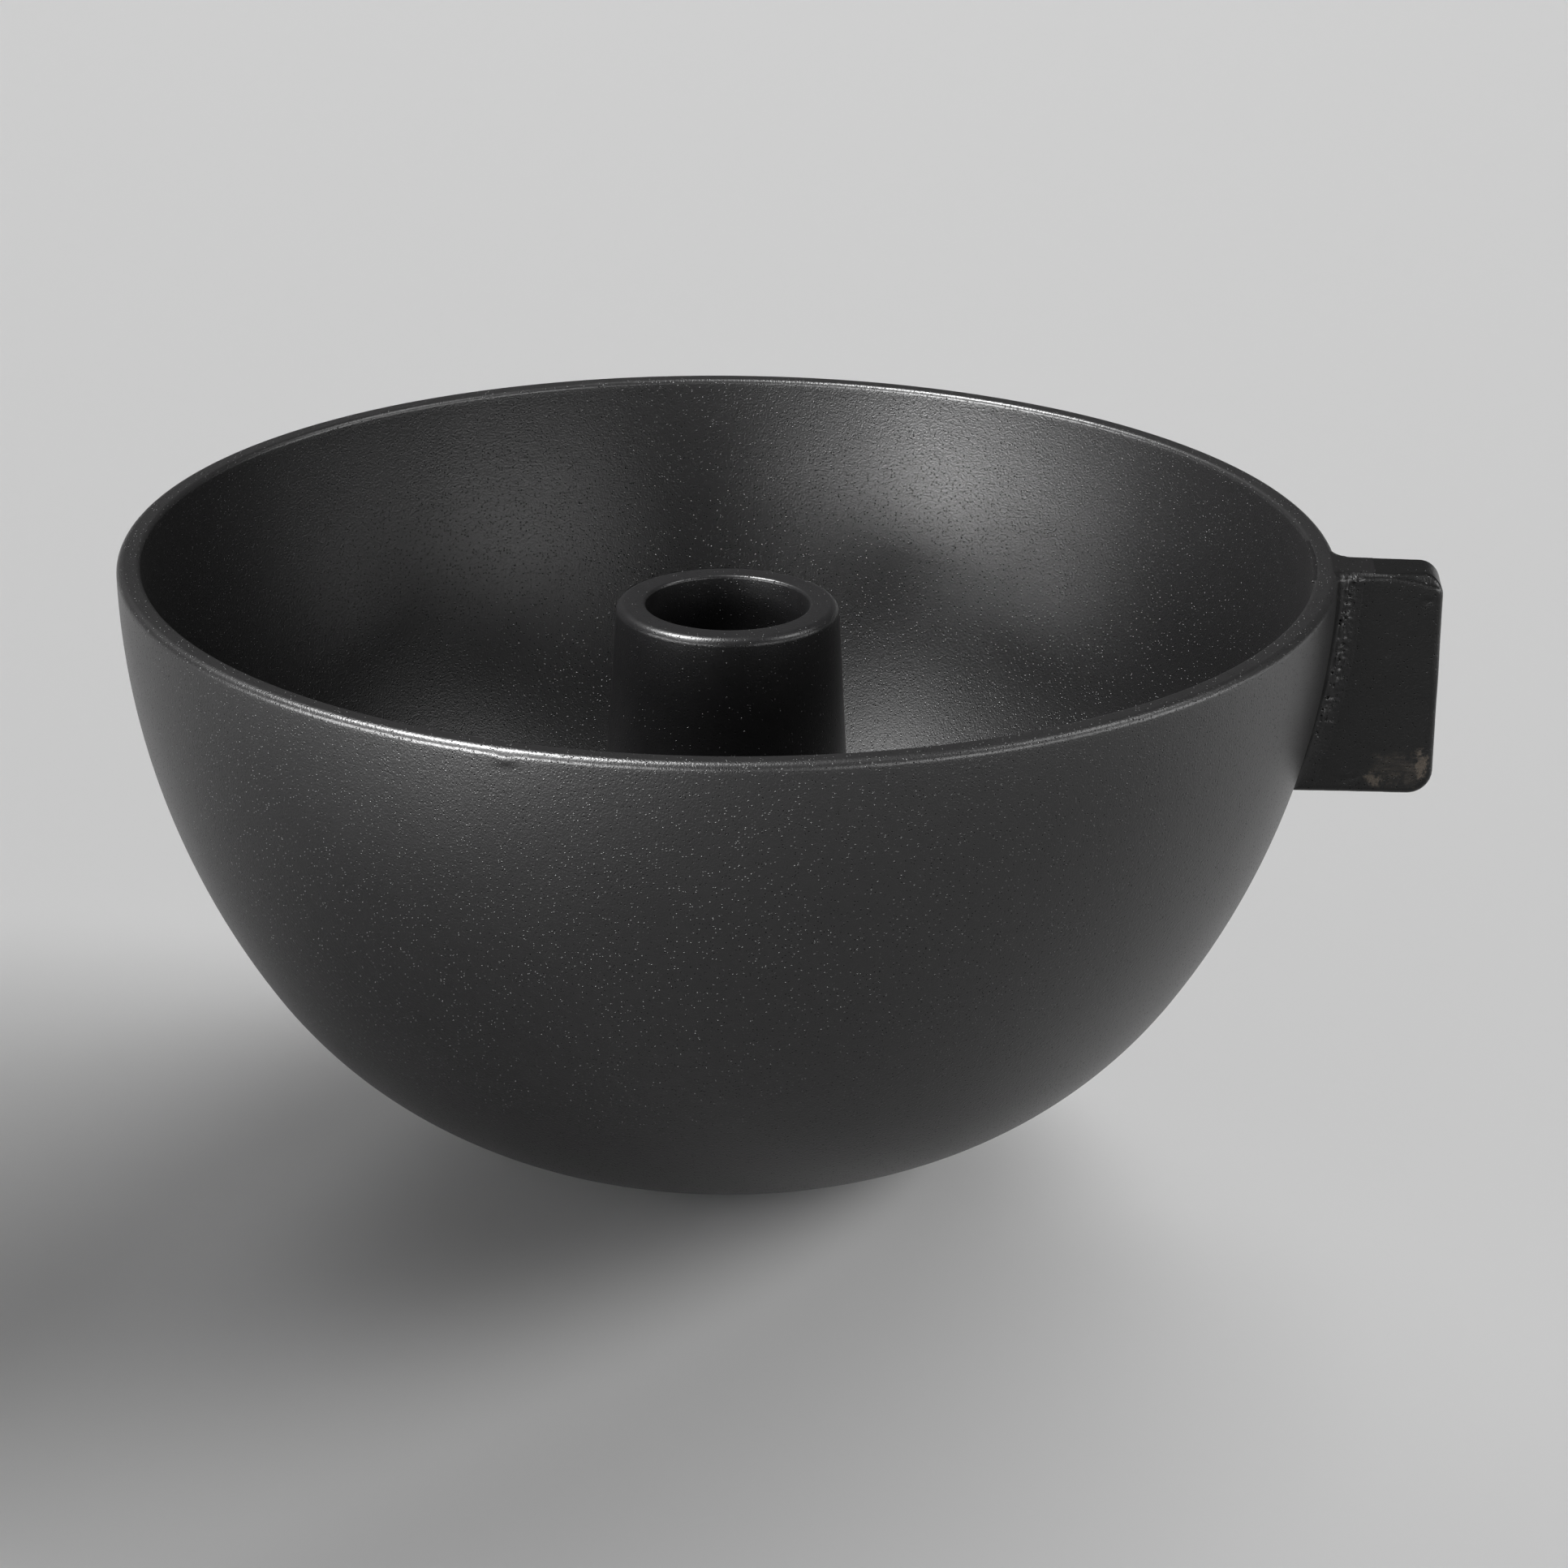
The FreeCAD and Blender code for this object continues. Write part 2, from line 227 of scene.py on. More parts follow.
# Bowl: a spun wall is never quite true, and the coat has sagged a little below the rim --------
WAVE_DEPTH = 0.10
WAVE_FREE_TURN = math.radians(7)
WAVE_FROM_R, WAVE_FULL_R = 30, 55
# the noise is read on a ring of this radius, and one of its cells is this high
WAVE_RING, WAVE_HEIGHT = 3.2, 30
SAG_TURN, SAG_Z = math.radians(-106), RIM_Z - 1.35
SAG_HALF_WIDTH, SAG_HALF_HEIGHT, SAG_DEPTH = 1.3, 0.6, 0.16
SAG_STEP, SAG_STEPS_EACH_SIDE, SAG_CLEAR = 0.25, 14, 3.8
BOWL_TURNS, CUP_TURNS, FELT_TURNS = 512, 256, 240


def bowl_shift(r, z, turn):
    """Slow waves of the whole wall, always inwards and none at the handle, and the sag of paint."""
    angle = math.remainder(turn, 2 * math.pi)
    clear = smooth(abs(angle), WAVE_FREE_TURN, 3 * WAVE_FREE_TURN)
    fade = float(clear * smooth(r, WAVE_FROM_R, WAVE_FULL_R))
    place = Vector((WAVE_RING * math.cos(angle), WAVE_RING * math.sin(angle), z / WAVE_HEIGHT))
    wave = -WAVE_DEPTH * fade * (0.5 + 0.5 * noise.noise(place))
    across = math.remainder(turn - SAG_TURN, 2 * math.pi) * RIM_R / SAG_HALF_WIDTH
    up = (z - SAG_Z) / SAG_HALF_HEIGHT
    outside = r > RIM_R - RIM_OUTER_ROUND
    sag = SAG_DEPTH * math.exp(-across ** 2 - up ** 2) if outside and abs(across) < 3 else 0
    return wave + sag


def bowl_turns():
    """Even turns, with finer ones between them across the sag."""
    steps = range(-SAG_STEPS_EACH_SIDE, SAG_STEPS_EACH_SIDE + 1)
    fine = [SAG_TURN + i * SAG_STEP / RIM_R for i in steps]
    clear = SAG_CLEAR / RIM_R
    even = [t for t in even_turns(BOWL_TURNS) if abs(math.remainder(t - SAG_TURN, 2 * math.pi)) > clear]
    return sorted(even + [t % (2 * math.pi) for t in fine])


bowl = adopt(lathe("bowl", bowl_section(), bowl_turns(), bowl_shift), "bowl_shell")
cup = adopt(lathe("cup", cup_section(), even_turns(CUP_TURNS)), "candle_cup")


# Handle and welds: solids given by their distance fields, in millimetres ------------------------
class Block:
    """A box of sample points, low to high."""

    def __init__(self, low, high, voxel):
        self.low, self.voxel = np.array(low, float), voxel
        x, y, z = (np.arange(a, b + voxel, voxel) for a, b in zip(low, high))
        self.x, self.y, self.z = x[:, None, None], y[None, :, None], z[None, None, :]
        self.r = np.hypot(self.x, self.y)

    def noise(self, size, seed):
        """Smooth random values from -1 to 1 that change over a length of size."""
        table = np.random.RandomState(seed).uniform(-1, 1, (16, 16, 16))
        result = 0
        steps = []
        for axis in (self.x, self.y, self.z):
            cell = np.floor(axis / size).astype(int)
            steps.append((cell, smooth(axis / size - cell, 0, 1)))
        for corner in range(8):
            weight, index = 1, []
            for bit, (cell, part) in enumerate(steps):
                far = corner >> bit & 1
                weight = weight * (part if far else 1 - part)
                index.append((cell + far) % 16)
            result = result + weight * table[index[0], index[1], index[2]]
        return result

    def away(self, point, stretch=(1, 1, 1)):
        """Distance from a point, shortened along the axes that a blob is stretched on."""
        squares = [((axis - p) / s) ** 2 for axis, p, s in zip((self.x, self.y, self.z), point, stretch)]
        return np.sqrt(sum(squares))

    def piece(self, name, field):
        """The mesh of the surface where a field is zero."""
        band = 3 * self.voxel
        grid = openvdb.FloatGrid(band)
        grid.copyFromArray(np.clip(field, -band, band))
        grid.transform = openvdb.createLinearTransform(voxelSize=self.voxel)
        points, triangles, quads = grid.convertToPolygons(isovalue=0.0, adaptivity=0.0)
        faces = [list(map(int, f)) for f in triangles] + [list(map(int, f)) for f in quads]
        made = make_piece(name, points + self.low, faces, 180)
        work = bmesh.new()
        work.from_mesh(made.data)
        bmesh.ops.recalc_face_normals(work, faces=work.faces)
        work.to_mesh(made.data)
        work.free()
        return made


def rounded(a, b, radius):
    """What is inside both fields, with the edge between them rounded."""
    u, v = a + radius, b + radius
    return np.minimum(np.maximum(u, v), 0) + np.hypot(np.maximum(u, 0), np.maximum(v, 0)) - radius


def blended(a, b, reach):
    """What is inside either field, with a hollow fillet that runs out at a distance of reach."""
    near = np.maximum(reach - np.abs(a - b), 0) / reach
    return np.minimum(a, b) - near ** 2 * reach / 4


def bowl_side(block):
    """Distance from the bowl's outer wall, above the arcs' join."""
    below_lip = np.hypot(block.r - UPPER_CENTRE[0], block.z - UPPER_CENTRE[1]) - UPPER_ARC_R
    return np.where(block.z < RIM_Z - LIP_H, below_lip, block.r - RIM_R)


def handle_top(block):
    """Height of the slab's top, which falls a little towards the tip."""
    fall = HANDLE_TOP_FALL * (block.x - HANDLE_ROOT_X) / (HANDLE_TIP_X - HANDLE_ROOT_X)
    return HANDLE_TOP_Z - fall


def slab_field(block, edge_round=HANDLE_EDGE_ROUND):
    """The handle's slab, still running into the bowl."""
    tip = block.x - HANDLE_TIP_X
    above = block.z - handle_top(block)
    below = HANDLE_BOTTOM_Z - block.z
    outline = np.maximum(rounded(tip, above, HANDLE_TOP_ROUND), rounded(tip, below, HANDLE_BOTTOM_ROUND))
    return rounded(outline, np.abs(block.y) - HANDLE_HALF_T, edge_round)


# the box of sample points and the distance between them
HANDLE_BLOCK, HANDLE_VOXEL = ((70, -4.6, 50.4), (97.4, 4.6, 83.8)), 0.2
# ground by hand: a flat on the front top edge that deepens towards the tip
GRIND_OUT, GRIND_UP = 0.66, 0.72
GRIND_FROM_X = HANDLE_TIP_X - 5.5
GRIND_SLOPE = 0.17
GRIND_START = 0.42
GRIND_SOFT = 0.35
# how deep the faces wander, the dent near the tip, and the wrinkles in the coat near the bottom
FACE_WAVE, FACE_GRAIN = 0.05, 0.012
FLAW = (HANDLE_TIP_X - 2.1, -HANDLE_HALF_T, HANDLE_TOP_Z - 3.9)
FLAW_HALF, FLAW_DEPTH = (0.7, 0.5, 0.42), 0.10
WRINKLES = (86.0, -HANDLE_HALF_T, 52.9)
WRINKLES_HALF, WRINKLES_DEPTH = (2.4, 1.0, 1.4), 0.07


def make_handle():
    """The slab with its hand-ground edges and slightly uneven faces."""
    block = Block(*HANDLE_BLOCK, HANDLE_VOXEL)
    edge = 1.0 + 0.25 * block.noise(6.0, 11)
    slab = slab_field(block, edge)
    out = -(block.y + HANDLE_HALF_T) * GRIND_OUT + (block.z - handle_top(block)) * GRIND_UP
    grind = out + GRIND_SLOPE * (block.x - GRIND_FROM_X) + GRIND_START
    slab = -blended(-slab, -grind, GRIND_SOFT)
    slab = slab + FACE_WAVE * (1 + block.noise(7.0, 3)) + FACE_GRAIN * (1 + block.noise(1.6, 4))
    slab = slab + FLAW_DEPTH * np.exp(-block.away(FLAW, FLAW_HALF) ** 2)
    wrinkles = np.exp(-block.away(WRINKLES, WRINKLES_HALF) ** 2)
    slab = slab + WRINKLES_DEPTH * wrinkles * block.noise(0.55, 21)
    cut = rounded(bowl_side(block), block.z - RIM_Z, RIM_OUTER_ROUND)
    return block.piece("handle", np.maximum(slab, -cut))


WELD_BLOCK, WELD_VOXEL = ((76, -8.4, 48.6), (87.5, 8.4, 83.8)), 0.15
# how far the fillets run out, how deep the root goes, and how far the beads are sunk
FILLET_SIDE, FILLET_UNDER = 3.0, 1.3
WELD_ROOT, WELD_DEEPEST = 0.4, 3.5
WELD_SINK, EDGE_SINK, SIDE_SINK = 0.03, 0.3, 0.02
TOP_FILL_R, TOP_ROUND, TOP_SINK = RIM_R + 2.0, 1.1, 0.02
# the rough strip on each of the handle's faces: its distance from the wall, and its lower end
STRIP_NEAR, STRIP_FAR, STRIP_LOW_Z = 0.8, 3.3, 59.5
RIDGE_HALF, RIDGE_HEIGHT = 0.35, 0.12
PITS, PIT_SMALLEST, PIT_LARGEST = 40, 0.08, 0.18
# a drop of weld metal at the top of the front bead
DROP, DROP_STRETCH, DROP_R = (85.0, -HANDLE_HALF_T + 0.15, HANDLE_TOP_Z - 1.2), (1.2, 1, 0.9), 0.55
# where the joint is cut into its four beads
MIDDLE_INSET, SIDE_INSET = 0.5, 0.8
TOP_DEPTH, UNDER_RISE, UNDER_DROP = 2.4, 0.8, 2.2


def wall_r(z):
    """Radius of the outer wall at a height on its upper arc."""
    return UPPER_CENTRE[0] + math.sqrt(UPPER_ARC_R ** 2 - (UPPER_CENTRE[1] - z) ** 2)


def weld_pits(block, field):
    """Pinholes down the bead on both of the handle's faces."""
    random = np.random.RandomState(5)
    for side in (-1, 1):
        for _ in range(PITS):
            z = random.uniform(STRIP_LOW_Z, HANDLE_TOP_Z - 2.5)
            along = random.uniform(STRIP_NEAR - 0.1, STRIP_NEAR + 1.1)
            size = random.uniform(PIT_SMALLEST, PIT_LARGEST)
            centre = (wall_r(z) + along, side * (HANDLE_HALF_T + 0.5 - 0.2 * along), z)
            field = np.maximum(field, size - block.away(centre))
    return field


def weld_field(block):
    """The outside of the filled joint: bowl and slab run together, ridged and rough at the toe."""
    wall = bowl_side(block)
    faces = np.abs(block.y) - HANDLE_HALF_T
    slab = rounded(faces, HANDLE_BOTTOM_Z - block.z, HANDLE_EDGE_ROUND)
    raised = smooth(block.z, HANDLE_BOTTOM_Z, HANDLE_BOTTOM_Z + 3)
    reach = FILLET_UNDER + (FILLET_SIDE - FILLET_UNDER) * raised
    side = blended(wall, slab, reach + 0.35 * block.noise(2.7, 8))
    side = side + EDGE_SINK * smooth(np.minimum(wall, HANDLE_HALF_T + faces), STRIP_FAR, STRIP_FAR + 1.5)
    ragged = wall + 0.5 * block.noise(1.7, 9)
    on_face = smooth(faces, -1.0, -0.4)
    strip = smooth(ragged, STRIP_NEAR, STRIP_NEAR + 0.5) * (1 - smooth(ragged, STRIP_FAR - 1.0, STRIP_FAR))
    strip = strip * smooth(block.z + 3 * block.noise(2.5, 10), STRIP_LOW_Z, STRIP_LOW_Z + 3) * on_face
    side = side - strip * (0.05 + 0.07 * block.noise(0.42, 12) + 0.04 * block.noise(0.9, 13))
    ridge = np.exp(-((wall - STRIP_NEAR - 0.5) / RIDGE_HALF) ** 2)
    ridge = ridge * smooth(block.z, STRIP_LOW_Z - 1, STRIP_LOW_Z + 2) * on_face
    side = side - ridge * (RIDGE_HEIGHT + 0.08 * block.noise(0.8, 14))
    filled = smooth(block.r, RIM_R - RIM_OUTER_ROUND, TOP_FILL_R)
    rim_top = RIM_Z - TOP_SINK
    top = block.z - rim_top - filled * (handle_top(block) - rim_top)
    return weld_pits(block, rounded(side, top, TOP_ROUND))


def make_welds():
    """Four beads cut from one field: they meet in overlaps, where one of each pair lies lower."""
    block = Block(*WELD_BLOCK, WELD_VOXEL)
    outside = blended(weld_field(block), block.away(DROP, DROP_STRETCH) - DROP_R, 0.5)
    bowl_solid = rounded(bowl_side(block), block.z - RIM_Z, RIM_OUTER_ROUND)
    root = np.maximum(-bowl_solid, -slab_field(block)) - WELD_ROOT
    joint = np.maximum(root, -WELD_DEEPEST - bowl_side(block))
    body = np.maximum(outside + WELD_SINK, joint)
    between = np.abs(block.y) - (HANDLE_HALF_T - MIDDLE_INSET)
    top_band = HANDLE_TOP_Z - TOP_DEPTH - block.z
    under_band = block.z - HANDLE_BOTTOM_Z - UNDER_RISE
    far_below = HANDLE_BOTTOM_Z - UNDER_DROP - block.z
    regions = {
        "top": np.maximum(between, top_band),
        "under": np.maximum(np.maximum(between, under_band), far_below),
        "front": block.y + HANDLE_HALF_T - SIDE_INSET,
        "back": HANDLE_HALF_T - SIDE_INSET - block.y,
    }
    made = []
    for place, region in regions.items():
        lower = SIDE_SINK if place in ("front", "back") else 0
        made.append(block.piece("weld_" + place, np.maximum(body + lower, region)))
        adopt(made[-1], "handle_weld_" + place)
    return made


handle = adopt(make_handle(), "handle_tab")
welds = make_welds()


# Felt pad --------------------------------------------------------------------------------------
FELT_GAP, FELT_EDGE_ROUND = 0.03, 0.35
FELT_RAGGED, FELT_RING = 0.12, 40


def felt_shift(r, z, turn):
    """The cut edge, slightly ragged and always inwards."""
    place = Vector((FELT_RING * math.cos(turn), FELT_RING * math.sin(turn), z * 2))
    return -FELT_RAGGED * (1 + noise.noise(place)) if r > FELT_R - 0.5 else 0


def felt_section():
    """A disc with soft edges, clear of the table and the bowl by a hair."""
    top = BASE_Z - FELT_GAP
    edge_r = FELT_R - FELT_EDGE_ROUND
    section = straight((0, FELT_GAP), (edge_r, FELT_GAP), 1.0)
    section += arc((edge_r, FELT_GAP + FELT_EDGE_ROUND), FELT_EDGE_ROUND, -90, 0, FINE)
    section += arc((edge_r, top - FELT_EDGE_ROUND), FELT_EDGE_ROUND, 0, 90, FINE)
    section += straight((edge_r, top), (0, top), 1.0)[1:] + [(0, top)]
    return section


felt_piece = lathe("felt", felt_section(), even_turns(FELT_TURNS), felt_shift)
felt = adopt(felt_piece, "felt_pad")


# Materials -----------------------------------------------------------------------------------
class Nodes:
    """Short calls for building one material's nodes."""

    def __init__(self, name):
        self.material = bpy.data.materials.new(name)
        self.material.use_nodes = True
        self.tree = self.material.node_tree
        self.shader = self.tree.nodes["Principled BSDF"]
        self.place = self.tree.nodes.new("ShaderNodeTexCoord").outputs["Object"]

    def add(self, kind, settings=None, **inputs):
        """A node of a kind; inputs are given by name with spaces as underscores, or as inN."""
        node = self.tree.nodes.new("ShaderNode" + kind)
        for key, value in (settings or {}).items():
            setattr(node, key, value)
        for key, value in inputs.items():
            numbered = key.startswith("in") and key[2:].isdigit()
            socket = node.inputs[int(key[2:])] if numbered else node.inputs[key.replace("_", " ")]
            self.put(socket, value)
        return node

    def put(self, socket, value):
        if isinstance(value, bpy.types.NodeSocket):
            self.tree.links.new(value, socket)
        else:
            socket.default_value = value

    def noise(self, scale, detail=2.0, roughness=0.5):
        return self.add("TexNoise", Vector=self.place, Scale=scale, Detail=detail,
                        Roughness=roughness).outputs["Fac"]

    def ramp(self, value, low, high, out_low=0.0, out_high=1.0):
        return self.add("MapRange", {"interpolation_type": "SMOOTHSTEP"}, Value=value, From_Min=low,
                        From_Max=high, To_Min=out_low, To_Max=out_high).outputs["Result"]

    def math(self, operation, a, b):
        return self.add("Math", {"operation": operation}, in0=a, in1=b).outputs[0]

    def bump(self, height, distance, normal=None):
        node = self.add("Bump", Height=height, Distance=distance, Strength=1.0)
        if normal is not None:
            self.put(node.inputs["Normal"], normal)
        return node.outputs["Normal"]


# linear base colours of the coat, and its specular levels; the welds share the handle's level. The
# handle's black is a darker copy of the bowl's coat, painted shade over the whole handle
BOWL_BLACK, CUP_BLACK = (0.0030, 0.0029, 0.0030), (0.0042, 0.0041, 0.0043)
HANDLE_BLACK_PAINTED_SHADE, WELD_BLACK = (0.0005, 0.0005, 0.0005), (0.002, 0.0019, 0.002)
GLOSS, CUP_GLOSS, HANDLE_GLOSS = 0.46, 0.3, 0.33
SPECK_CELL, SPECK_HEIGHT = 0.4 * MM, 0.095 * MM
# each layer of orange peel: its size, its noise detail and its depth
PEEL = ((9 * MM, 1.0, 0.02 * MM), (0.45 * MM, 2.0, 0.022 * MM), (0.25 * MM, 1.0, 0.034 * MM))
CLOUD_SIZE, SHADE_SIZE, SHADE_GAIN = 1 / 90, 1.5 * MM, 1.2


def coat(name, colour, roughness, specks=0.7, peel=1.0, gloss=GLOSS):
    """Black baked coat: orange peel with specks of dust and dull pinholes.  specks is how many of
    the cells hold one, from 0 to 1, and peel is the orange peel's strength."""
    n = Nodes(name)
    cells = n.add("TexVoronoi", Vector=n.place, Scale=1 / SPECK_CELL).outputs
    lot = n.add("SeparateColor", in0=cells["Color"]).outputs
    kept = n.ramp(lot[0], 1 - specks, 1.4 - specks)
    speck = n.math("MULTIPLY", n.ramp(cells["Distance"], 0.36, 0.05), kept)
    dust_height = n.math("MULTIPLY", speck, n.ramp(lot[1], 0.45, 0.60, -0.4, 1.0))
    hole = n.ramp(n.math("MULTIPLY", speck, n.ramp(lot[1], 0.55, 0.45)), 0.05, 0.5)
    normal = None
    for size, detail, depth in PEEL:
        normal = n.bump(n.noise(1 / size, detail, 0.5), depth * peel, normal)
    n.put(n.shader.inputs["Normal"], n.bump(dust_height, SPECK_HEIGHT, normal))
    shade = n.ramp(n.noise(1 / SHADE_SIZE, 4.0), 0.3, 0.7)
    light = [c * SHADE_GAIN for c in colour]
    tint = n.add("Mix", {"data_type": "RGBA"}, in0=shade, in6=(*colour, 1), in7=(*light, 1))
    cloud = n.noise(1 / CLOUD_SIZE, 3.0)
    n.put(n.shader.inputs["Base Color"], tint.outputs[2])
    n.put(n.shader.inputs["Specular IOR Level"], n.ramp(hole, 0.0, 1.0, gloss, 0.1 * gloss))
    n.put(n.shader.inputs["Roughness"], n.ramp(cloud, 0.3, 0.7, roughness - 0.005, roughness + 0.01))
    return n


# the worn places on the handle's front face: centres and half-sizes in millimetres
FRONT_Y = -HANDLE_HALF_T
WORN_SPOTS = (((88.6, FRONT_Y, 53.4), (1.6, 1.0, 1.0)), ((95.2, FRONT_Y, 55.5), (1.1, 1.0, 2.4)))
WORN_HAZE = ((92.0, FRONT_Y, 54.7), (5.0, 1.0, 3.0))
WORN_BROWN, WORN_ROUGHNESS = (0.030, 0.023, 0.016), 0.6
STREAK_LENGTH, STREAK_WIDTH = 3.0 * MM, 0.35 * MM


def worn_share(n, centre, half, ragged):
    """1 in the middle of a worn spot on the coat, 0 beyond its ragged edge."""
    shift = [-c / h for c, h in zip(centre, half)]
    place = n.add("Mapping", Vector=n.place, Location=shift, Scale=[1 / (h * MM) for h in half])
    away = n.add("VectorMath", {"operation": "LENGTH"}, in0=place.outputs[0]).outputs["Value"]
    return n.ramp(n.math("ADD", away, ragged), 1.5, 0.7)


def wear(n):
    """The coat rubbed through to brown in two spots on the handle's front face, hazy between."""
    ragged = n.ramp(n.noise(1 / (1.1 * MM), 6.0, 0.7), 0.25, 0.75, -0.2, 1.2)
    stretch = (1 / STREAK_LENGTH, 1.0, 1 / STREAK_WIDTH)
    along = n.add("Mapping", Vector=n.place, Scale=stretch).outputs[0]
    streaks = n.add("TexNoise", Vector=along, Scale=1.0, Detail=3.0).outputs["Fac"]
    share = n.math("MULTIPLY", worn_share(n, *WORN_HAZE, ragged), n.ramp(streaks, 0.3, 0.8, 0.08, 0.5))
    for spot in WORN_SPOTS:
        share = n.math("MAXIMUM", share, worn_share(n, *spot, ragged))
    base, rough = n.shader.inputs["Base Color"], n.shader.inputs["Roughness"]
    black, satin = base.links[0].from_socket, rough.links[0].from_socket
    brown = n.add("Mix", {"data_type": "RGBA"}, in0=share, in6=black, in7=(*WORN_BROWN, 1))
    n.put(base, brown.outputs[2])
    n.put(rough, n.add("Mix", in0=share, in2=satin, in3=WORN_ROUGHNESS).outputs[0])


ZINC = (0.55, 0.55, 0.56, 1)
FELT_DARK, FELT_LIGHT = (0.010, 0.010, 0.011, 1), (0.035, 0.035, 0.037, 1)


def steel(name):
    """Zinc-plated steel with fine turning marks."""
    n = Nodes(name)
    marks = n.noise(1 / (0.4 * MM), 2.0)
    n.put(n.shader.inputs["Metallic"], 1.0)
    n.put(n.shader.inputs["Base Color"], ZINC)
    n.put(n.shader.inputs["Roughness"], n.ramp(marks, 0.3, 0.7, 0.28, 0.42))
    n.put(n.shader.inputs["Normal"], n.bump(marks, 0.01 * MM))
    return n.material


def wool(name):
    """Black pressed felt."""
    n = Nodes(name)
    fibres = n.noise(1 / (0.35 * MM), 5.0, 0.7)
    tint = n.add("Mix", {"data_type": "RGBA"}, in0=fibres, in6=FELT_DARK, in7=FELT_LIGHT)
    n.put(n.shader.inputs["Base Color"], tint.outputs[2])
    n.put(n.shader.inputs["Roughness"], 1.0)
    n.put(n.shader.inputs["Sheen Weight"], 0.4)
    n.put(n.shader.inputs["Normal"], n.bump(fibres, 0.15 * MM))
    return n.material


def paint(piece, material):
    """Gives a piece one material in place of what it has."""
    piece.data.materials.clear()
    piece.data.materials.append(material)


paint(bowl, coat("bowl_coat", BOWL_BLACK, 0.35).material)
paint(cup, coat("cup_coat", CUP_BLACK, 0.32, specks=0.5, peel=0.6, gloss=CUP_GLOSS).material)
# the handle's darker black is painted shade; the coat is the same as the bowl's
handle_coat = coat("handle_coat", HANDLE_BLACK_PAINTED_SHADE, 0.32, specks=0.4, peel=0.8, gloss=HANDLE_GLOSS)
wear(handle_coat)
paint(handle, handle_coat.material)
weld_coat = coat("weld_coat", WELD_BLACK, 0.34, specks=0.6, peel=0.8, gloss=HANDLE_GLOSS)
for weld in welds:
    paint(weld, weld_coat.material)
paint(felt, wool("felt"))
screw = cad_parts["cup_screw"]
screw.data.shade_smooth()
screw.data.set_sharp_from_angle(angle=math.radians(30))
paint(screw, steel("screw_steel"))


# Camera, floor and light -----------------------------------------------------------------------
# the camera's place from the centre of the rim, in rim radii, and its angles in degrees
EYE_RIGHT, EYE_BACK, EYE_UP = 0.0965, 7.6145, 2.5438
EYE_AZIMUTH, EYE_PITCH, EYE_ROLL = 2.3, 21.26, 0.63
LENS, SENSOR = 111.8, 36
FLOOR_HALF, FLOOR_SHADE, FLOOR_ROUGHNESS = 4.0, 0.8, 0.6
# name, azimuth, elevation and width in degrees, and strength in watts per square metre
FLOOR_LIGHTS = (
    ("floor_right", 110, 12, 34, 4.3),
    ("floor_back_right", 150, 32, 40, 1.3),
    ("floor_back", -170, 12, 34, 0.7),
)
HOLDER_LIGHTS = (
    ("high_left", -90, 65, 24, 12.0),
    ("high_front_left", -45, 45, 24, 1.1),
    ("high_right", 90, 45, 24, 1.4),
    ("low_front", -20, 2, 28, 2.8),
    ("low_front_left", -42, 0, 20, 9.5),
    ("low_left", -50, 2, 28, 3.0),
    ("low_far_left", -70, 2, 28, 4.3),
    ("low_front_right", 40, 2, 34, 2.0),
    ("low_right", 60, 2, 28, 1.1),
    ("low_far_right", 90, 2, 28, 1.6),
)
WORLD_STRENGTH = 0.09


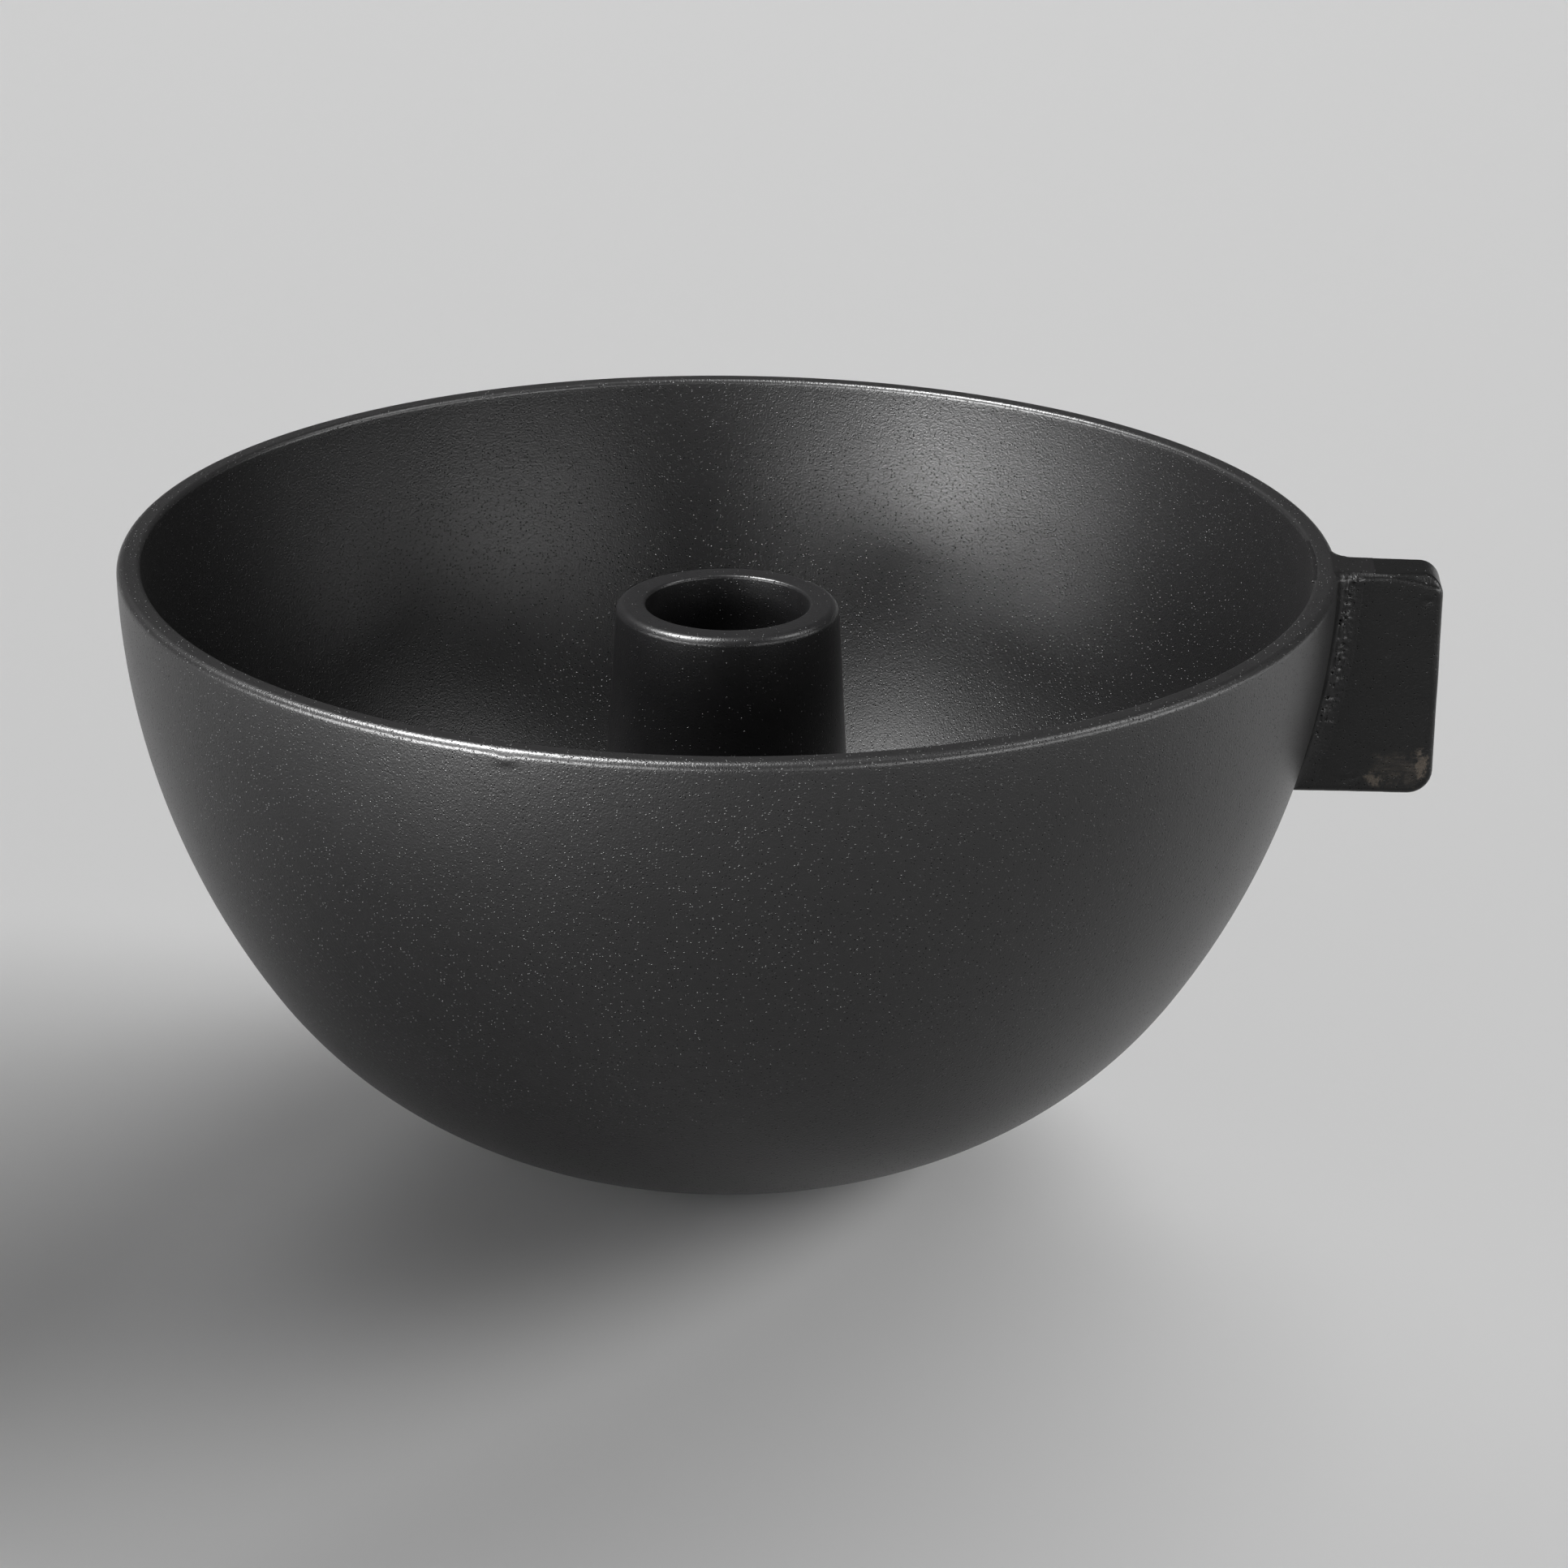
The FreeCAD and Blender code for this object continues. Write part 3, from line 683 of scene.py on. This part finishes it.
def make_camera():
    data = bpy.data.cameras.new("camera")
    data.lens = LENS
    data.sensor_width = SENSOR
    camera = bpy.data.objects.new("camera", data)
    bpy.context.scene.collection.objects.link(camera)
    turn = Matrix.Rotation(math.radians(EYE_AZIMUTH), 4, "Z")
    offset = turn @ Vector((EYE_RIGHT, -EYE_BACK, EYE_UP)) * RIM_R * MM
    tilt = Matrix.Rotation(math.radians(90 - EYE_PITCH), 4, "X")
    roll = Matrix.Rotation(math.radians(EYE_ROLL), 4, "Z")
    camera.matrix_world = Matrix.Translation(offset + Vector((0, 0, RIM_Z * MM))) @ turn @ tilt @ roll
    bpy.context.scene.camera = camera


def make_floor():
    """A wide pale table under the felt pad."""
    mesh = bpy.data.meshes.new("floor")
    corners = [(-1, -1), (1, -1), (1, 1), (-1, 1)]
    mesh.from_pydata([(x * FLOOR_HALF, y * FLOOR_HALF, 0) for x, y in corners], [], [(0, 1, 2, 3)])
    floor = bpy.data.objects.new("floor", mesh)
    bpy.context.scene.collection.objects.link(floor)
    n = Nodes("floor")
    n.put(n.shader.inputs["Base Color"], (FLOOR_SHADE, FLOOR_SHADE, FLOOR_SHADE, 1))
    n.put(n.shader.inputs["Roughness"], FLOOR_ROUGHNESS)
    mesh.materials.append(n.material)
    return floor


def make_light(name, azimuth, elevation, spread, strength, lit):
    """A softbox far away, as wide as spread.  Azimuth 0 is in front, and 90 is on the right."""
    data = bpy.data.lights.new(name, "SUN")
    data.angle = math.radians(spread)
    data.energy = strength
    light = bpy.data.objects.new(name, data)
    bpy.context.scene.collection.objects.link(light)
    light.light_linking.receiver_collection = lit
    a, e = math.radians(azimuth), math.radians(elevation)
    out = Vector((math.sin(a) * math.cos(e), -math.cos(a) * math.cos(e), math.sin(e)))
    light.rotation_euler = out.to_track_quat("Z", "Y").to_euler()


def make_world(strength):
    """Faint even light from all round."""
    world = bpy.data.worlds.new("studio")
    world.use_nodes = True
    background = world.node_tree.nodes["Background"]
    background.inputs["Color"].default_value = (1, 1, 1, 1)
    background.inputs["Strength"].default_value = strength
    bpy.context.scene.world = world


def group(name, members):
    """A collection outside the scene, to say what a light falls on."""
    found = bpy.data.collections.new(name)
    for member in members:
        found.objects.link(member)
    return found


make_camera()
floor = make_floor()
only_floor = group("only_floor", [floor])
only_holder = group("only_holder", [bowl, cup, handle, felt, screw] + welds)
for light in FLOOR_LIGHTS:
    make_light(*light, only_floor)
for light in HOLDER_LIGHTS:
    make_light(*light, only_holder)
make_world(WORLD_STRENGTH)
bpy.context.scene.view_settings.view_transform = "Standard"
